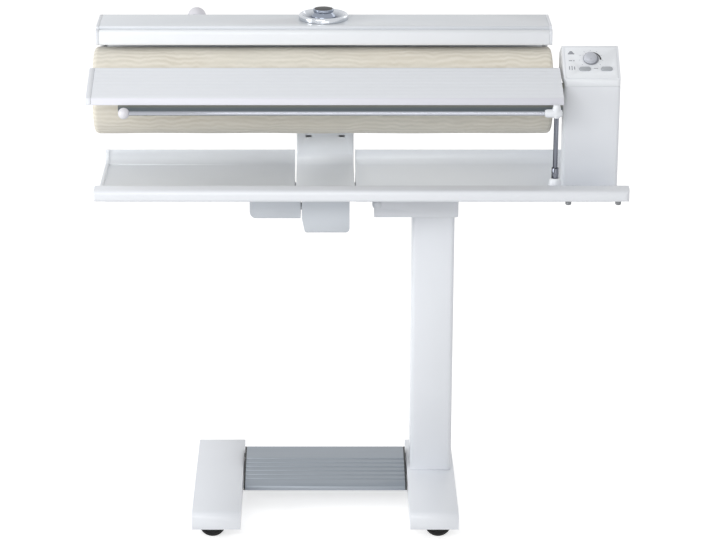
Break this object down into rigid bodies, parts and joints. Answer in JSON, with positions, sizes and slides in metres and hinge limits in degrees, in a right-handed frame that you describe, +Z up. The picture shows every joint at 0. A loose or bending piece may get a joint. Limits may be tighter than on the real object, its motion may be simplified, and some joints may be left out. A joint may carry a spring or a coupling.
{
  "type": "flatwork ironer",
  "caption": "Rotary flatwork ironer with a cloth-covered roller, a heated press, a feed board, a linen tray and a control column, on a folding castor stand with a foot rail.",
  "frame": {"origin": "on the floor under the middle of the whole machine", "axes": "+X along the roller towards the control column, +Y to the back, +Z up"},
  "size_m": [0.985, 0.38, 0.959],
  "materials": {
    "white_paint": "satin white powder coat",
    "white_plastic": "satin white moulding",
    "grey_aluminium": "anodised",
    "pale_aluminium": "matt",
    "chrome": "polished",
    "dark_plastic": "matt black",
    "black_rubber": "matt",
    "steel": "machined",
    "cloth": "woven roller cloth over padding",
    "grey_plastic": "silver grey"
  },
  "bodies": {
    "stand": {"foot_left": "white_paint", "foot_right": "white_paint", "cross_tube": "white_paint", "column": "white_paint", "head_bracket": "white_paint", "fold_bolt": "steel"},
    "foot_rail": {"foot_rail": "grey_aluminium", "rail_cap_left": "dark_plastic", "rail_cap_right": "dark_plastic"},
    "release": {"fold_release": "steel"},
    "top": {"base_frame": "white_paint", "tray": "white_paint", "tray_rail": "white_plastic", "buffer_left": "black_rubber", "buffer_right": "black_rubber", "press_housing": "white_paint", "arm_pin": "steel", "press_gearbox": "white_paint", "control_housing": "white_plastic", "control_cap": "white_plastic", "control_panel": "white_plastic", "cable_gland": "dark_plastic", "drive_motor": "dark_plastic", "shaft_bearing": "steel", "feed_board": "pale_aluminium", "board_cap": "white_plastic", "board_bracket": "dark_plastic", "front_socket": "white_plastic", "front_sleeve": "chrome"},
    "roller": {"roller_drum": "steel", "roller_cover": "cloth", "drive_gear": "steel"},
    "pinion": {"motor_pinion": "steel"},
    "press": {"heater_shoe": "pale_aluminium", "heater_cover": "white_paint", "cover_end_left": "white_plastic", "cover_end_right": "white_plastic", "filler_ring": "chrome", "press_arm": "white_paint", "rear_socket": "white_plastic"},
    "crank": {"press_crank": "steel"},
    "guard": {"finger_guard": "white_plastic"},
    "filler_cap": {"filler_cap": "chrome"},
    "knob": {"temperature_knob": "grey_plastic"},
    "key_left": {"key_left": "grey_plastic"},
    "key_right": {"key_right": "grey_plastic"},
    "front_rail": {"front_rod": "chrome", "front_elbow": "white_plastic", "front_ball": "white_plastic"},
    "rear_rail": {"rear_rod": "chrome", "rear_ball": "white_plastic"},
    "castor_front_left": {"castor_front_left": "dark_plastic"},
    "wheels_front_left": {"castor_wheels_front_left": "black_rubber"},
    "castor_back_left": {"castor_back_left": "dark_plastic"},
    "wheels_back_left": {"castor_wheels_back_left": "black_rubber"},
    "castor_front_right": {"castor_front_right": "dark_plastic"},
    "wheels_front_right": {"castor_wheels_front_right": "black_rubber"},
    "castor_back_right": {"castor_back_right": "dark_plastic"},
    "wheels_back_right": {"castor_wheels_back_right": "black_rubber"}
  },
  "joints": [
    {"name": "swivel_front_left", "type": "hinge", "parent": "stand", "child": "castor_front_left", "pos_m": [-0.26275, -0.15, 0.05], "axis": [0, 0, 1], "continuous": true},
    {"name": "roll_front_left", "type": "hinge", "parent": "castor_front_left", "child": "wheels_front_left", "pos_m": [-0.27075, -0.15, 0.025], "axis": [0, 1, 0], "continuous": true},
    {"name": "swivel_back_left", "type": "hinge", "parent": "stand", "child": "castor_back_left", "pos_m": [-0.26275, 0.15, 0.05], "axis": [0, 0, 1], "continuous": true},
    {"name": "roll_back_left", "type": "hinge", "parent": "castor_back_left", "child": "wheels_back_left", "pos_m": [-0.27075, 0.15, 0.025], "axis": [0, 1, 0], "continuous": true},
    {"name": "swivel_front_right", "type": "hinge", "parent": "stand", "child": "castor_front_right", "pos_m": [0.14775, -0.15, 0.05], "axis": [0, 0, 1], "continuous": true},
    {"name": "roll_front_right", "type": "hinge", "parent": "castor_front_right", "child": "wheels_front_right", "pos_m": [0.15575, -0.15, 0.025], "axis": [0, 1, 0], "continuous": true},
    {"name": "swivel_back_right", "type": "hinge", "parent": "stand", "child": "castor_back_right", "pos_m": [0.14775, 0.15, 0.05], "axis": [0, 0, 1], "continuous": true},
    {"name": "roll_back_right", "type": "hinge", "parent": "castor_back_right", "child": "wheels_back_right", "pos_m": [0.15575, 0.15, 0.025], "axis": [0, 1, 0], "continuous": true},
    {"name": "rail_press", "type": "hinge", "parent": "stand", "child": "foot_rail", "pos_m": [-0.0575, 0.121, 0.05], "axis": [1, 0, 0], "range_deg": [0, 4.5], "stiffness_Nm_per_rad": 20, "springref_deg": -5.73},
    {"name": "release_turn", "type": "hinge", "parent": "stand", "child": "release", "pos_m": [0.158, 0.112, 0.5955], "axis": [0, 1, 0], "range_deg": [0, 25], "stiffness_Nm_per_rad": 0.5, "springref_deg": -11.46},
    {"name": "fold", "type": "hinge", "parent": "stand", "child": "top", "pos_m": [0.041, 0.065, 0.6], "axis": [0, -1, 0], "range_deg": [0, 90]},
    {"name": "roller_turn", "type": "hinge", "parent": "top", "child": "roller", "pos_m": [0, 0.055, 0.815], "axis": [1, 0, 0], "continuous": true},
    {"name": "pinion_turn", "type": "hinge", "parent": "top", "child": "pinion", "pos_m": [0.459, 0.055, 0.7742], "axis": [1, 0, 0], "continuous": true},
    {"name": "press_swing", "type": "hinge", "parent": "top", "child": "press", "pos_m": [-0.0575, 0.172, 0.612], "axis": [1, 0, 0], "range_deg": [0, 5]},
    {"name": "crank_turn", "type": "hinge", "parent": "top", "child": "crank", "pos_m": [-0.07, 0.02, 0.598], "axis": [1, 0, 0], "range_deg": [0, 70]},
    {"name": "guard_tilt", "type": "hinge", "parent": "press", "child": "guard", "pos_m": [-0.0599, 0.037, 0.9269], "axis": [1, 0, 0], "range_deg": [0, 6], "stiffness_Nm_per_rad": 2, "springref_deg": -5.73},
    {"name": "cap_lift", "type": "slide", "parent": "press", "child": "filler_cap", "axis": [0, 0, 1], "range_m": [0, 0.03]},
    {"name": "knob_turn", "type": "hinge", "parent": "top", "child": "knob", "pos_m": [0.432, -0.00748, 0.88956], "axis": [0, -0.5642, 0.8256], "range_deg": [-270, 0]},
    {"name": "key_left_push", "type": "slide", "parent": "top", "child": "key_left", "axis": [0, 0.5642, -0.8256], "range_m": [0, 0.0015], "stiffness_N_per_m": 400, "springref_m": -0.0005},
    {"name": "key_right_push", "type": "slide", "parent": "top", "child": "key_right", "axis": [0, 0.5642, -0.8256], "range_m": [0, 0.0015], "stiffness_N_per_m": 400, "springref_m": -0.0005},
    {"name": "front_rail_swing", "type": "hinge", "parent": "top", "child": "front_rail", "pos_m": [0.36, -0.139, 0.7], "axis": [0, 0, 1], "range_deg": [0, 90]},
    {"name": "rear_rail_swing", "type": "hinge", "parent": "press", "child": "rear_rail", "pos_m": [0.345, 0.1725, 0.902], "axis": [0, 0, 1], "range_deg": [-90, 0]}
  ],
  "couplings": [
    {"joint": "pinion_turn", "follows": "roller_turn", "ratio": -3},
    {"joint": "crank_turn", "follows": "press_swing", "ratio": 14}
  ]
}
